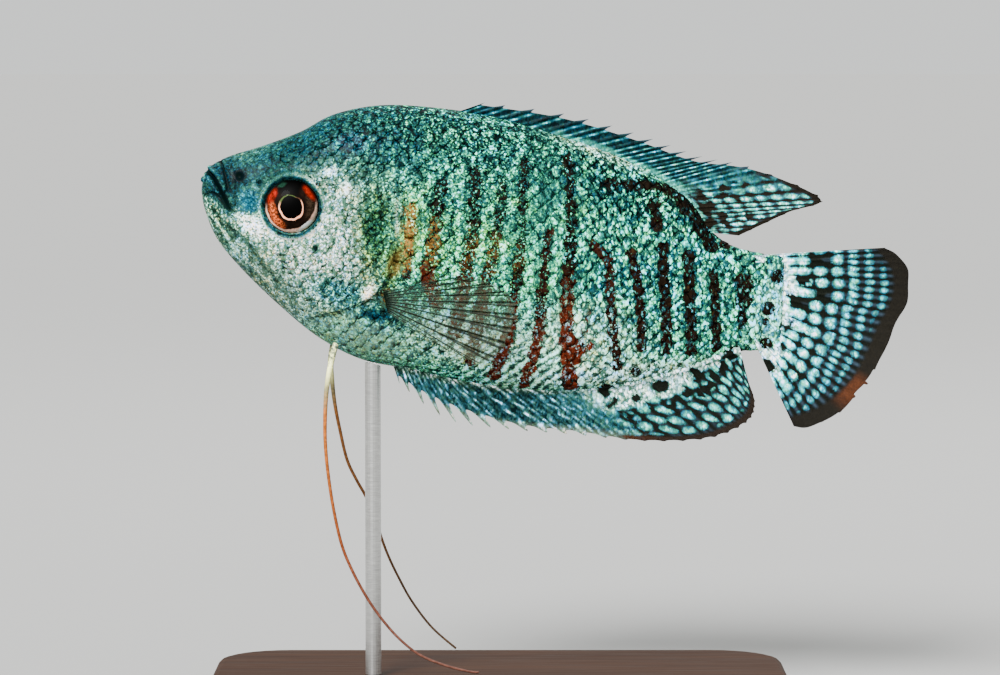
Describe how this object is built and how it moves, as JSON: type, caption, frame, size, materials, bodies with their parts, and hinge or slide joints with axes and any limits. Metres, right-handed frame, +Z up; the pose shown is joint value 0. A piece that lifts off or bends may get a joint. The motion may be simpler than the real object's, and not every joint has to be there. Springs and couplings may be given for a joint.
{
  "type": "dwarf gourami display model",
  "caption": "Male dwarf gourami swimming, with long thread-like feelers and raised fin rays, carried by one rod on a flat base.",
  "frame": {"origin": "middle of the underside of the stand's base, on the floor", "axes": "+X from the fish's head towards its tail, -Y towards the fish's left side, +Z up"},
  "size_m": [0.08, 0.042, 0.0692],
  "materials": {
    "skin": "painted teal scales with red-brown bars, clear satin varnish",
    "fin": "painted teal and cream spots on dark brown, satin",
    "clear_fin": "clear film with dark rays",
    "eye": "polished, red iris round a black pupil",
    "feeler": "cream at the root, orange brown at the tip",
    "wood": "dark oiled wood",
    "steel": "fine brushed"
  },
  "bodies": {
    "root": {"head": "skin", "lower_jaw": "skin", "gill_cover_left": "skin", "gill_cover_right": "skin", "trunk": "skin", "tail_stalk": "skin", "eye_left": "eye", "eye_right": "eye", "dorsal_fin": "fin", "anal_fin": "fin", "tail_fin": "fin", "breast_fin_left": "clear_fin", "breast_fin_right": "clear_fin", "feeler_left_1": "feeler", "feeler_left_2": "feeler", "feeler_left_3": "feeler", "feeler_right_1": "feeler", "feeler_right_2": "feeler", "feeler_right_3": "feeler", "stand_base": "wood", "stand_rod": "steel"}
  },
  "joints": []
}
